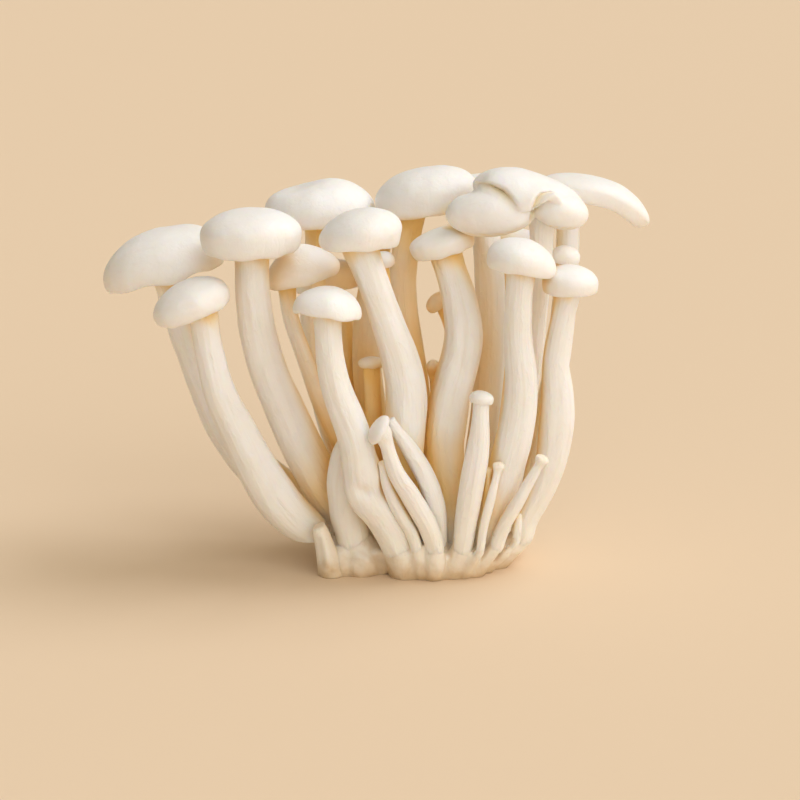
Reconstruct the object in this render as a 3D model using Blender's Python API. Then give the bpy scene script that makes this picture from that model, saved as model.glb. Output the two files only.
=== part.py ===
"""A cluster of white beech mushrooms, standing on the trimmed foot that joins them.

The origin is the centre of the cut face under the foot. +Z points up along the stems, +X to the
right along the wide side of the cluster, and -Y to its front. Lengths in the tables are in
millimetres, and every mesh is built in metres.
"""

import math
from collections import namedtuple

import bmesh
import bpy
from mathutils import Euler, Vector

MM = 0.001
GAP = 0.3  # left between neighbouring pieces

# The foot: one lump of fused stem bases, cut flat underneath.
FOOT_HEIGHT = 7.0
FOOT_BOTTOM = (23.0, 16.0)  # half width and half depth of the cut face
FOOT_TOP = (27.0, 19.0)
FOOT_SEGMENTS = 28
FOOT_EDGE = 1.2  # rounding at the top and bottom rims
FOOT_LOBES = ((3, 0.035, 0.4), (5, 0.025, 1.9), (8, 0.02, 0.9))  # waves round it, share, phase

# Faceting of the round pieces.
STEM_BEVEL_RESOLUTION = 3
STEM_STEPS = 3  # straight steps from one knot to the next
PIN_BEVEL_RESOLUTION = 2
CAP_SEGMENTS = 16
FOLDED_CAP_SEGMENTS = 24
SMALL_CAP_SEGMENTS = 10
SMALL_CAP_RADIUS = 4.0

# Outline of a cap as shares of its radius and its height: crown to margin, round the margin's
# lip, and back under it to the gills, which lie level with the top of the stem.
DOME = ((0, 1), (0.40, 0.95), (0.72, 0.74), (0.92, 0.45), (1.0, 0.14))
BELL = ((0, 1), (0.30, 0.90), (0.52, 0.62), (0.74, 0.36), (1.0, 0.08))
LIP = ((0.97, -0.09), (0.88, -0.11), (0.80, 0.0), (0, 0.0))
SEAT_DEPTH = 2.0  # how far a stem runs on into its cap before it is cut at the gills

# knots: (x, y, z, radius) from the foot to the gills. size: the cap's half width, half depth and
# height. lean: degrees that its right side and its front drop. shift: of the cap across its stem.
# waves: (bearing, half spread, lift) of the margin, in degrees from +X and millimetres.
# dents: (x, y, spread, lift) of the crown's surface.
Mushroom = namedtuple(
    "Mushroom",
    "name knots size lean shift outline waves dents",
    defaults=((0, 0), (0, 0), DOME, (), ()),
)

MUSHROOMS = (
    Mushroom(
        "far_left",
        ((-22, 7.5, 1, 4), (-28.5, 7.5, 9, 4.4), (-36, 7, 16, 4.8), (-43.3, 6, 22.5, 4.5),
         (-53, 5.5, 41, 3.6), (-60.7, 6, 66.5, 3.3)),
        size=(14.3, 12, 11), lean=(-14, 0),
    ),
    Mushroom(
        "left",
        ((-17, 2, 1, 4), (-20, 1, 8, 4.4), (-27, -2, 22, 5), (-32.7, -4, 35, 4.9),
         (-39.2, -7, 56, 4.3), (-40.2, -8, 75.3, 3.7)),
        size=(11.3, 10.6, 9.8), lean=(-2, 0),
    ),
    Mushroom(
        "left_front",
        ((-22, -5, 1, 4.2), (-28, -6, 8, 4.8), (-35.5, -10.3, 18, 5.2), (-42.5, -13.5, 32.5, 4.4),
         (-47.8, -15, 45, 3.7), (-51, -15.5, 62.5, 3.1)),
        size=(9, 8.3, 8.2), lean=(-20, 4), shift=(-1.8, 0),
    ),
    Mushroom(
        "back_left",
        ((-13.5, 7, 1, 2.8), (-15.7, 7.8, 8, 2.9), (-20.5, 9, 21, 3.1), (-25.3, 10.5, 38, 3.1),
         (-27.5, 13, 57, 3), (-25.5, 16, 77, 3)),
        size=(12.7, 10.5, 9.8), dents=((-6, 0, 5, -1.6), (6, 0, 5, 1)),
    ),
    Mushroom(
        "centre_left",
        ((-3, -7, 1, 3.2), (-4.3, -7.6, 8, 3.4), (-6, -11.3, 29, 4.7), (-5.8, -11.5, 44.5, 4.8),
         (-10.8, -12, 62, 3.7), (-16, -12.5, 77.5, 4)),
        size=(9.1, 8.7, 8.2), lean=(-2, 0),
    ),
    Mushroom(
        "inner_left",
        ((-11, 1.8, 1, 2), (-12.6, 2, 8, 2.2), (-24.2, 3, 34, 2.3), (-29.2, 3, 48, 2),
         (-32.3, 2.5, 58, 1.9), (-32.8, 1.5, 65.5, 2)),
        size=(8.8, 7.2, 8.6), lean=(-14, 0), shift=(4, -0.5), outline=BELL,
    ),
    Mushroom(
        "front_left",
        ((-6.5, -13.8, 1, 3.4), (-8.2, -15.2, 9, 3.7), (-15.3, -19, 23, 3.9), (-17, -21, 34.5, 4),
         (-21.6, -22, 48.5, 3.4), (-23, -22, 63.6, 3)),
        size=(7.7, 7.3, 6.4), lean=(5, -4),
    ),
    Mushroom(
        "back_centre",
        ((0, 3.5, 1, 3.1), (-0.6, 4, 8, 3.2), (-4, 7, 44, 3.3), (-6.4, 10, 63, 3.2),
         (-4.5, 12.5, 80, 3.1)),
        size=(12, 9.5, 9.8), lean=(-9, 0), shift=(4, 0),
    ),
    Mushroom(
        "folded",
        ((15, -2, 1, 2.6), (16.5, -2, 8, 2.7), (22, -1, 42, 2.9), (24.5, -0.5, 63, 2.6),
         (25, -1, 81, 2.9)),
        size=(16, 10.5, 11), shift=(-6, -1),
        waves=((-70, 22, 6), (-140, 45, -2.2)), dents=((-6, -4, 4, -2),),
    ),
    Mushroom(
        "centre",
        ((5, -7.5, 1, 3.3), (5, -8, 8, 3.5), (2.8, -6.2, 30, 5), (4.5, -6.5, 41, 4.8),
         (7.6, -5, 55, 4.5), (3, -1, 73.2, 3.3)),
        size=(7.4, 7, 5.3), lean=(-15, 0),
    ),
    Mushroom(
        "front_right",
        ((12, -10, 1, 2.9), (12.5, -10.5, 8, 3.1), (18, -14, 29, 4.3), (20.2, -15, 44, 3.8),
         (19.2, -16, 58, 3.3), (19.7, -17, 72.5, 3.1)),
        size=(7.7, 7.2, 7.2), lean=(7, 0),
    ),
    Mushroom(
        "right",
        ((20, -7, 1, 2.6), (20.8, -7, 8, 2.9), (26.8, -8.5, 23.5, 3.6), (28.6, -9.5, 38, 4.1),
         (28, -11, 51, 3), (30.5, -12.5, 66.5, 2.7)),
        size=(6.3, 6.2, 6.2), shift=(0.4, 0),
    ),
    Mushroom(
        "inner_right",
        ((21.5, 0, 1, 1.1), (22, 0.3, 8, 1.2), (27.5, 1, 38, 1.4), (30.5, 2, 59, 1.3),
         (30.6, 3, 70, 1.2)),
        size=(3.4, 3.2, 3.8), lean=(5, 0),
    ),
    Mushroom(
        "far_right",
        ((17, 5.5, 1, 2.8), (18.5, 5.5, 8, 2.9), (28, 7, 37, 3), (31, 8.5, 60, 2.9),
         (32.3, 13, 83.2, 2.8)),
        size=(13, 7.5, 5.6), lean=(20, 0), shift=(7.4, 0), waves=((0, 60, -4),),
    ),
    Mushroom(
        "back_right",
        ((9, 2.5, 1, 3.2), (9.5, 3, 8, 3.4), (14, 9, 47, 3.6), (13.5, 15, 68, 3.5),
         (12.5, 28.5, 79, 3.2)),
        size=(8.5, 8, 7), lean=(0, -10),
    ),
    Mushroom(
        "inner_small",
        ((4.7, -1.5, 1, 1.1), (4.8, -1.5, 8, 1.2), (6, 1, 33, 1.3), (5.6, 5, 48, 1.3),
         (2.4, 7.3, 58.6, 1.2)),
        size=(3.2, 3, 3.3), lean=(-35, 0),
    ),
    Mushroom(
        "inner_neck",
        ((-6, 2.5, 1, 1.1), (-6, 2.5, 8, 1.2), (-6.5, 1, 37, 1.3), (-9, 2, 54, 1.3),
         (-10.7, 3, 69, 1.1)),
        size=(2.4, 2.4, 3), lean=(-10, 0),
    ),
    Mushroom(
        "inner_pin",
        ((-9.5, -2.5, 1, 1.7), (-10, -2.5, 8, 1.8), (-12.7, -2.5, 31, 2), (-13.5, -1.5, 46.6, 1.9)),
        size=(3.1, 2.9, 2.1),
    ),
    Mushroom(
        "front_pin",
        ((7, -15, 1, 2.2), (7.2, -16, 8, 2.4), (9.4, -19, 25, 2.9), (10.6, -20, 34, 2.5),
         (11, -20, 43, 1.7)),
        size=(2.75, 2.6, 2.6), lean=(6, 0),
    ),
    Mushroom(
        "left_pin",
        ((1, -17, 1, 2), (0.8, -18, 9, 2.2), (-4.5, -22, 21.5, 2.3), (-8, -24, 28, 1.9),
         (-11.2, -25, 37.5, 1.3)),
        size=(2.9, 2.8, 2.6), lean=(-38, 10),
    ),
    Mushroom(
        "second_left_pin",
        ((1.5, -12.5, 1, 1.8), (2, -13.5, 9, 1.9), (-0.2, -17, 22, 2.3), (-4.5, -18.5, 31, 2),
         (-9, -19.5, 38, 1.1)),
        size=(1.9, 1.8, 1.8), lean=(-30, 0),
    ),
    Mushroom(
        "rear_left",
        ((-17.5, 13, 1, 2.8), (-18.5, 14, 8, 3), (-20.5, 19, 32, 3.6), (-20.5, 24, 49, 3.3),
         (-23.5, 28, 58, 3)),
        size=(8.8, 8.4, 7.5), lean=(-6, -14),
    ),
    Mushroom(
        "rear_centre",
        ((-8, 10, 1, 3.2), (-9, 11, 8, 3.4), (-14.5, 16, 38, 3.6), (-14.5, 19.5, 54, 3.3),
         (-12, 25, 69, 3)),
        size=(8.3, 8, 7), lean=(0, -14),
    ),
    Mushroom(
        "rear_right",
        ((10, 11.5, 1, 3.2), (11, 12, 8, 3.4), (16.5, 18.5, 35, 3.4), (19.5, 23.5, 52, 3.2),
         (21, 27, 66, 3)),
        size=(8.2, 7.8, 7), lean=(6, -12),
    ),
    Mushroom(
        "rear_low",
        ((2, 12, 1, 2.2), (2.5, 12.5, 8, 2.4), (6, 18, 24, 2.5), (8, 22, 37, 2.2)),
        size=(5.5, 5.2, 5), lean=(6, -12),
    ),
)

# Young fruit bodies whose head is only a swelling of the stem: knots as above, tip last.
PINS = {
    "swollen_pin": ((-17, -9.5, 1, 3.7), (-17.8, -10, 8, 4.1), (-19.3, -10.5, 19, 4.6),
                    (-19, -11, 28, 3.9), (-17.8, -11.5, 33, 2.4), (-17.2, -11.7, 35, 1.1)),
    "hidden_pin": ((0.6, -2, 1, 0.8), (0.6, -2, 8, 0.9), (1, 1, 33, 0.95), (0.7, 1.6, 43.2, 1),
                   (0.6, 1.8, 45.4, 1.8), (0.6, 1.8, 47.2, 0.8)),
    "slim_pin": ((-3.2, -17.5, 1, 1.2), (-3.4, -18, 9, 1.4), (-8, -20.5, 19, 1.5),
                 (-10.2, -21.6, 25, 1.2), (-11, -22, 30, 0.8)),
    "tiny_pin": ((11, -17, 1, 0.9), (11.6, -18, 11, 1), (13.5, -19, 20.5, 1.1),
                 (14.7, -19, 25.5, 0.9), (15.1, -19, 27.5, 1.4), (15.3, -19, 28.8, 0.6)),
    "twin_pin": ((10.9, -14.6, 1, 0.7), (11.3, -15, 11, 0.75), (12.5, -16.8, 20, 0.75),
                 (12.8, -17.3, 24.5, 0.55), (12.9, -17.3, 26, 0.95), (12.9, -17.3, 27, 0.4)),
    "right_pin": ((14.5, -14.5, 1, 1.6), (15.2, -15.5, 9, 1.8), (20.3, -18, 20.5, 1.5),
                  (24, -18.5, 27.5, 1.1), (24.8, -18.7, 29, 1.5), (25.4, -18.8, 30.2, 0.7)),
    "right_nub": ((19.3, -12.2, 1, 0.9), (19.5, -12.6, 8, 1), (20, -13.2, 13, 0.9),
                  (20.2, -13.4, 15, 0.5)),
}

# A broken stem at the left of the foot, standing on its own cut end.
STUMP = ((-24.4, -12.2, -5, 2.4), (-24.7, -12.6, 3, 2.4), (-25.5, -13.6, 11, 2.1), (-25.7, -13.8, 13, 1.3))

# Colour, roughness and metallic value of each finish.
FINISHES = {
    "cap_skin": ((0.90, 0.85, 0.76), 0.42, 0.0),
    "stem_flesh": ((0.88, 0.82, 0.70), 0.50, 0.0),
    "pin_flesh": ((0.90, 0.83, 0.68), 0.45, 0.0),
    "foot_flesh": ((0.74, 0.64, 0.48), 0.65, 0.0),
}


def clear_scene():
    for obj in list(bpy.data.objects):
        bpy.data.objects.remove(obj)


def make_finish(name):
    colour, roughness, metallic = FINISHES[name]
    material = bpy.data.materials.new(name)
    material.use_nodes = True
    shader = material.node_tree.nodes["Principled BSDF"]
    shader.inputs["Base Color"].default_value = (*colour, 1)
    shader.inputs["Roughness"].default_value = roughness
    shader.inputs["Metallic"].default_value = metallic
    return material


def link(name, mesh, collection, material):
    mesh.materials.clear()
    mesh.materials.append(material)
    mesh.shade_smooth()
    mesh.set_sharp_from_angle(angle=math.radians(50))
    obj = bpy.data.objects.new(name, mesh)
    collection.objects.link(obj)
    return obj


def tube_mesh(name, knots, bevel_resolution):
    """A round tube through the knots, swelling and thinning as they say, with closed ends."""
    curve = bpy.data.curves.new(name, "CURVE")
    curve.dimensions = "3D"
    curve.resolution_u = STEM_STEPS
    curve.bevel_depth = MM
    curve.bevel_resolution = bevel_resolution
    curve.use_fill_caps = True
    spline = curve.splines.new("BEZIER")
    spline.radius_interpolation = "CARDINAL"
    spline.bezier_points.add(len(knots) - 1)
    for point, (x, y, z, radius) in zip(spline.bezier_points, knots):
        point.co = Vector((x, y, z)) * MM
        point.radius = radius
        point.handle_left_type = point.handle_right_type = "AUTO"
    obj = bpy.data.objects.new(name, curve)
    bpy.context.scene.collection.objects.link(obj)
    bpy.context.view_layer.update()
    mesh = bpy.data.meshes.new_from_object(obj.evaluated_get(bpy.context.evaluated_depsgraph_get()))
    bpy.data.objects.remove(obj)
    return mesh


def cut_flat(bm, point, normal):
    """Takes off what lies beyond the plane, on the side its normal points to, and closes the cut."""
    geometry = bm.verts[:] + bm.edges[:] + bm.faces[:]
    cut = bmesh.ops.bisect_plane(
        bm, geom=geometry, dist=1e-7, plane_co=point, plane_no=normal, clear_outer=True
    )
    edges = [e for e in cut["geom_cut"] if isinstance(e, bmesh.types.BMEdge)]
    bmesh.ops.contextual_create(bm, geom=edges)


def make_tube(name, knots, bevel_resolution, floor, collection, material, gills=None):
    """A stem or pin, cut level at height floor and, where it carries a cap, along its gills."""
    mesh = tube_mesh(name, knots, bevel_resolution)
    bm = bmesh.new()
    bm.from_mesh(mesh)
    bmesh.ops.remove_doubles(bm, verts=bm.verts, dist=1e-6)
    cut_flat(bm, Vector((0, 0, floor)) * MM, Vector((0, 0, -1)))
    if gills:
        cut_flat(bm, *gills)
    bmesh.ops.recalc_face_normals(bm, faces=bm.faces)
    bm.to_mesh(mesh)
    bm.free()
    return link(name, mesh, collection, material)


def bearing_gap(a, b):
    """Degrees between two bearings, the short way round."""
    return abs((a - b + 180) % 360 - 180)


def cap_surface(mushroom, x, y, z):
    """Where a point of the plain turned cap goes once its margin waves and its crown dents."""
    half_width, half_depth, height = mushroom.size
    reach = math.hypot(x / half_width, y / half_depth)
    bearing = math.degrees(math.atan2(y, x))
    for toward, spread, lift in mushroom.waves:
        z += lift * reach**3 * math.exp(-((bearing_gap(bearing, toward) / spread) ** 2))
    crown = max(0.0, z / height)
    for dent_x, dent_y, spread, lift in mushroom.dents:
        z += lift * crown * math.exp(-((x - dent_x) ** 2 + (y - dent_y) ** 2) / spread**2)
    return Vector((x, y, z)) * MM


def make_cap(mushroom, collection, material):
    half_width, half_depth, height = mushroom.size
    if mushroom.name == "folded":
        segments = FOLDED_CAP_SEGMENTS
    elif half_width < SMALL_CAP_RADIUS:
        segments = SMALL_CAP_SEGMENTS
    else:
        segments = CAP_SEGMENTS
    bm = bmesh.new()
    outline = [bm.verts.new((share, 0, rise)) for share, rise in mushroom.outline + LIP]
    edges = [bm.edges.new(pair) for pair in zip(outline, outline[1:])]
    bmesh.ops.spin(
        bm, geom=outline + edges, axis=(0, 0, 1), cent=(0, 0, 0), angle=math.tau, steps=segments,
        use_merge=True,
    )
    bmesh.ops.remove_doubles(bm, verts=bm.verts, dist=1e-5)
    for v in bm.verts:
        v.co = cap_surface(mushroom, v.co.x * half_width, v.co.y * half_depth, v.co.z * height)
    bmesh.ops.recalc_face_normals(bm, faces=bm.faces)
    mesh = bpy.data.meshes.new("cap_" + mushroom.name)
    bm.to_mesh(mesh)
    bm.free()
    cap = link("cap_" + mushroom.name, mesh, collection, material)
    turn = cap_turn(mushroom)
    shift = turn.to_matrix() @ Vector((*mushroom.shift, 0))
    cap.rotation_euler = turn
    cap.location = (Vector(mushroom.knots[-1][:3]) + shift) * MM
    return cap


def cap_turn(mushroom):
    right_drop, front_drop = (math.radians(angle) for angle in mushroom.lean)
    return Euler((front_drop, right_drop, 0))


def make_mushroom(mushroom, collection, finishes):
    """A cap and its stem, which run together at the gills with the gap between them."""
    axis = cap_turn(mushroom).to_matrix() @ Vector((0, 0, 1))
    top = Vector(mushroom.knots[-1][:3])
    seat = (*(top + axis * SEAT_DEPTH), mushroom.knots[-1][3])
    make_tube(
        "stem_" + mushroom.name, (*mushroom.knots, seat), STEM_BEVEL_RESOLUTION, FOOT_HEIGHT + GAP,
        collection, finishes["stem_flesh"], gills=((top - axis * GAP) * MM, axis),
    )
    make_cap(mushroom, collection, finishes["cap_skin"])


def make_foot(collection, material):
    """A tapered lump, wider at the top, with soft lobes round it and both rims rounded."""
    bm = bmesh.new()
    bmesh.ops.create_cone(
        bm, cap_ends=True, segments=FOOT_SEGMENTS, radius1=1, radius2=1, depth=FOOT_HEIGHT * MM
    )
    for v in bm.verts:
        bearing = math.atan2(v.co.y, v.co.x)
        swell = 1 + sum(share * math.sin(n * bearing + phase) for n, share, phase in FOOT_LOBES)
        half_width, half_depth = FOOT_TOP if v.co.z > 0 else FOOT_BOTTOM
        v.co.x *= half_width * swell * MM
        v.co.y *= half_depth * swell * MM
        v.co.z += FOOT_HEIGHT * MM / 2
    rims = [e for e in bm.edges if abs(e.verts[0].co.z - e.verts[1].co.z) < 1e-6]
    bmesh.ops.bevel(
        bm, geom=rims, offset=FOOT_EDGE * MM, offset_type="OFFSET", segments=2, profile=0.5,
        affect="EDGES", material=-1,
    )
    mesh = bpy.data.meshes.new("foot")
    bm.to_mesh(mesh)
    bm.free()
    return link("foot", mesh, collection, material)


def main():
    clear_scene()
    cluster = bpy.data.collections.new("beech_mushroom_cluster")
    bpy.context.scene.collection.children.link(cluster)
    finishes = {name: make_finish(name) for name in FINISHES}
    make_foot(cluster, finishes["foot_flesh"])
    for mushroom in MUSHROOMS:
        make_mushroom(mushroom, cluster, finishes)
    for name, knots in PINS.items():
        make_tube(
            name, knots, PIN_BEVEL_RESOLUTION, FOOT_HEIGHT + GAP, cluster, finishes["pin_flesh"]
        )
    make_tube("stump", STUMP, STEM_BEVEL_RESOLUTION, 0, cluster, finishes["stem_flesh"])


main()
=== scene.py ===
import math

import bmesh
import bpy
from mathutils import Matrix, Vector, noise
from mathutils.bvhtree import BVHTree
from mathutils.interpolate import poly_3d_calc


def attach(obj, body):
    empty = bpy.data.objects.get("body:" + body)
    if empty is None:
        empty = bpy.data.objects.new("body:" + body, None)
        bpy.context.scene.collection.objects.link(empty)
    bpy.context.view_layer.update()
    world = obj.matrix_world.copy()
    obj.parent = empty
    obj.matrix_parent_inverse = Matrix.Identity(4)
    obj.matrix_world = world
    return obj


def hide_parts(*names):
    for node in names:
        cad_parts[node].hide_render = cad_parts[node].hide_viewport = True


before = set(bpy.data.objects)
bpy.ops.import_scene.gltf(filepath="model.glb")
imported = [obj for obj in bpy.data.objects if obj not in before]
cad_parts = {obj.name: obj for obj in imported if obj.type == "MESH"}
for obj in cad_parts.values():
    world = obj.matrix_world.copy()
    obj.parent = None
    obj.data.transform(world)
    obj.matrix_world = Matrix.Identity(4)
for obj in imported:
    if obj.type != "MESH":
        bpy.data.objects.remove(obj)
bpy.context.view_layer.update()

mm = 0.001
seatGap = 0.3 * mm  # between a stem's end and its cap's gills


class Wire:
    # a shader socket that takes Python's own operators
    def __init__(self, recipe, socket):
        self.recipe = recipe
        self.socket = socket

    def maths(self, operation, first, second):
        return self.recipe.node("ShaderNodeMath", {"operation": operation}, {0: first, 1: second})

    def __add__(self, other):
        return self.maths("ADD", self, other)

    def __radd__(self, other):
        return self.maths("ADD", other, self)

    def __sub__(self, other):
        return self.maths("SUBTRACT", self, other)

    def __rsub__(self, other):
        return self.maths("SUBTRACT", other, self)

    def __mul__(self, other):
        return self.maths("MULTIPLY", self, other)

    def __rmul__(self, other):
        return self.maths("MULTIPLY", other, self)

    def __pow__(self, other):
        return self.maths("POWER", self, other)


class Recipe:
    # a material, or the room's light, and the few nodes it is mixed from
    def __init__(self, owner, shader="Principled BSDF"):
        self.owner = owner
        owner.use_nodes = True
        self.tree = owner.node_tree
        self.shader = self.tree.nodes[shader]

    def node(self, kind, settings=None, values=None, output=0):
        made = self.tree.nodes.new(kind)
        for key, value in (settings or {}).items():
            setattr(made, key, value)
        for key, value in (values or {}).items():
            self.plug(made.inputs[key], value)
        return Wire(self, made.outputs[output])

    def plug(self, socket, value):
        if isinstance(value, Wire):
            self.tree.links.new(value.socket, socket)
        elif isinstance(value, tuple) and len(value) == 3 and socket.type == "RGBA":
            socket.default_value = (*value, 1)
        else:
            socket.default_value = value

    def coordinates(self):
        return self.node("ShaderNodeTexCoord", output="Object")

    def attribute(self, name, output="Vector"):
        return self.node("ShaderNodeAttribute", {"attribute_name": name}, output=output)

    def stretch(self, vector, scale):
        return self.node("ShaderNodeMapping", {}, {"Vector": vector, "Scale": scale})

    def clouds(self, vector, scale, detail=3.0, roughness=0.5, distortion=0.0):
        values = {
            "Vector": vector, "Scale": scale, "Detail": detail, "Roughness": roughness,
            "Distortion": distortion,
        }
        return self.node("ShaderNodeTexNoise", {}, values)

    def between(self, wire, low, high):  # 0 below low, 1 above high, smooth in between
        values = {"Value": wire, "From Min": low, "From Max": high}
        return self.node("ShaderNodeMapRange", {"interpolation_type": "SMOOTHSTEP"}, values)

    def mix(self, share, first, second):
        settings = {"data_type": "RGBA", "blend_type": "MIX"}
        return self.node("ShaderNodeMix", settings, {0: share, 6: first, 7: second}, output=2)

    def bump(self, height, strength, distance, under=None):
        values = {"Height": height, "Strength": strength, "Distance": distance}
        if under:
            values["Normal"] = under
        return self.node("ShaderNodeBump", {}, values)

    def set(self, **values):
        for key, value in values.items():
            self.plug(self.shader.inputs[key.replace("_", " ")], value)
        return self.owner


fleshLook = {
    "scatter": 0.5,  # share of the light that wanders under the skin
    "scatterColour": (1.0, 0.76, 0.52),
    "paintedWarmShade": (1.0, 0.68, 0.26),  # painted warm shade and bounce light deep inside the bunch
    "closed": 0.12, "open": 0.55,  # openness where the painted warm shade is full and where it is gone
    "falloff": 1.25,
    "glossLevel": 1.38, "coatRoughness": 0.35,
}


# paints warm shade and bounce light where a surface sees little of its surroundings
def paintWarmShade(recipe, colour, most):
    air = recipe.attribute("air", "Fac")
    clear = recipe.between(air, fleshLook["closed"], fleshLook["open"])
    inside = (1 - clear) ** fleshLook["falloff"]
    return recipe.mix(inside * most, colour, fleshLook["paintedWarmShade"])


def fleshShader(recipe, colour, roughness, normal, coat, depth):
    return recipe.set(
        Base_Color=colour, Roughness=roughness, Normal=normal,
        Subsurface_Weight=fleshLook["scatter"], Subsurface_Scale=depth,
        Subsurface_Radius=fleshLook["scatterColour"], IOR=fleshLook["glossLevel"],
        Coat_Weight=coat, Coat_Roughness=fleshLook["coatRoughness"],
    )


capSkinLook = {
    "light": (0.935, 0.93, 0.92), "cream": (0.905, 0.885, 0.855), "shade": (0.86, 0.82, 0.75),
    "gillsAndRecessShade": (0.93, 0.83, 0.64),
    "freckles": 0.35, "paintedWarmShadeShare": 0.75,  # shares, the second one of painted warm shade
    "mottle": 95, "pores": 1500,  # how fine the patches and the pores are
    "creaseDepth": 0.12 * mm, "softDepth": 0.4 * mm, "poreDepth": 0.06 * mm,
    "roughness": (0.40, 0.16),  # least, and how much the patches add
    "coat": 0.04, "depth": 1.4 * mm,
}


def makeCapSkin():
    look = capSkinLook
    recipe = Recipe(bpy.data.materials.new("capSkin"))
    place = recipe.coordinates()
    mottle = recipe.clouds(place, look["mottle"], 4, 0.55, 0.4)
    freckle = recipe.clouds(place, look["mottle"] * 7, 3, 0.6)
    colour = recipe.mix(recipe.between(mottle, 0.38, 0.66), look["light"], look["cream"])
    colour = recipe.mix(recipe.between(freckle, 0.58, 0.8) * look["freckles"], colour, look["shade"])
    # painted warm shade and bounce light in the bunch's hollows
    colour = paintWarmShade(recipe, colour, look["paintedWarmShadeShare"])
    # the gills' own colour, also painted shadow in the folded cap's hollows
    colour = recipe.mix(recipe.attribute("gillsAndRecessShade", "Fac"), colour, look["gillsAndRecessShade"])
    pores = recipe.clouds(place, look["pores"], 3, 0.55)
    soft = recipe.clouds(place, look["mottle"] * 2.6, 3, 0.5)
    creases = recipe.clouds(recipe.stretch(place, (1, 1, 0.5)), look["mottle"] * 4, 3, 0.6, 2.2)
    normal = recipe.bump(recipe.between(creases, 0.42, 0.56), 0.22, look["creaseDepth"])
    normal = recipe.bump(soft, 0.6, look["softDepth"], normal)
    normal = recipe.bump(pores, 0.3, look["poreDepth"], normal)
    least, added = look["roughness"]
    return fleshShader(recipe, colour, least + mottle * added, normal, look["coat"], look["depth"])


stemFleshLook = {
    "light": (0.945, 0.94, 0.93), "cream": (0.925, 0.91, 0.88), "fibre": (0.86, 0.82, 0.75),
    "root": (0.94, 0.90, 0.80), "tip": (0.88, 0.76, 0.55),
    "fibres": 0.45, "roots": 0.6, "tips": 0.7,  # shares
    # the painted warm shade fades in over the second pair of heights, from the base up
    "rootHeights": (5 * mm, 26 * mm), "paintedWarmShadeHeights": (2 * mm, 22 * mm),
    "fibreScale": 1900, "stretch": 0.045, "pits": 620,
    "strandDepth": 0.5 * mm, "pitDepth": 0.22 * mm, "fibreDepth": 0.16 * mm,
    "roughness": (0.44, 0.16),  # least, and how much the fibres add
    "coat": 0.03, "depth": 1.4 * mm,
}


def makeStemFlesh():
    look = stemFleshLook
    recipe = Recipe(bpy.data.materials.new("stemFlesh"))
    grain = recipe.attribute("grain")
    place = recipe.coordinates()
    along = recipe.stretch(grain, (1, 1, look["stretch"]))
    fibres = recipe.clouds(along, look["fibreScale"], 4, 0.6)
    strands = recipe.clouds(along, look["fibreScale"] * 0.3, 3, 0.55, 0.6)
    mottle = recipe.clouds(place, 110, 3, 0.5, 0.3)
    colour = recipe.mix(recipe.between(mottle, 0.36, 0.66), look["light"], look["cream"])
    colour = recipe.mix(recipe.between(strands, 0.50, 0.72) * look["fibres"], colour, look["fibre"])
    height = recipe.node("ShaderNodeSeparateXYZ", {}, {0: place}, output=2)
    low = 1 - recipe.between(height, *look["rootHeights"])
    colour = recipe.mix(low * look["roots"], colour, look["root"])
    # painted warm shade and bounce light, fading out towards the cut base
    colour = paintWarmShade(recipe, colour, recipe.between(height, *look["paintedWarmShadeHeights"]))
    colour = recipe.mix(recipe.attribute("tip", "Fac") * look["tips"], colour, look["tip"])
    pits = recipe.clouds(recipe.stretch(grain, (1, 1, 0.35)), look["pits"], 3, 0.6, 0.8)
    normal = recipe.bump(strands, 0.8, look["strandDepth"])
    normal = recipe.bump(recipe.between(pits, 0.5, 0.72), 0.5, look["pitDepth"], normal)
    normal = recipe.bump(fibres, 0.6, look["fibreDepth"], normal)
    least, added = look["roughness"]
    return fleshShader(recipe, colour, least + fibres * added, normal, look["coat"], look["depth"])


footFleshLook = {
    # cut is the cut base's own brown, also used as painted contact shadow near the floor
    "pale": (0.91, 0.86, 0.76), "tan": (0.72, 0.56, 0.36), "cut": (0.50, 0.36, 0.20),
    "crumb": (0.66, 0.52, 0.35),
    "cutAndContactShadeShare": 0.7, "hollowShadeShare": 0.55, "crumbShare": 0.35,
    "uneven": 7 * mm,  # how far the patches move the heights
    "paleHeights": (0.3 * mm, 6.5 * mm), "cutAndContactShadeHeights": (-1 * mm, 2.2 * mm),
    "hollowShade": (0.45, 0.85),  # openness where the painted shade in a hollow is full and where it is gone
    "patches": 160, "crumbs": 900, "ribs": 420, "ribDepth": 0.5 * mm, "crumbDepth": 0.25 * mm,
    "roughness": (0.55, 0.2),  # least, and how much the patches add
    "coat": 0.0, "depth": 0.9 * mm,
}


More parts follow.
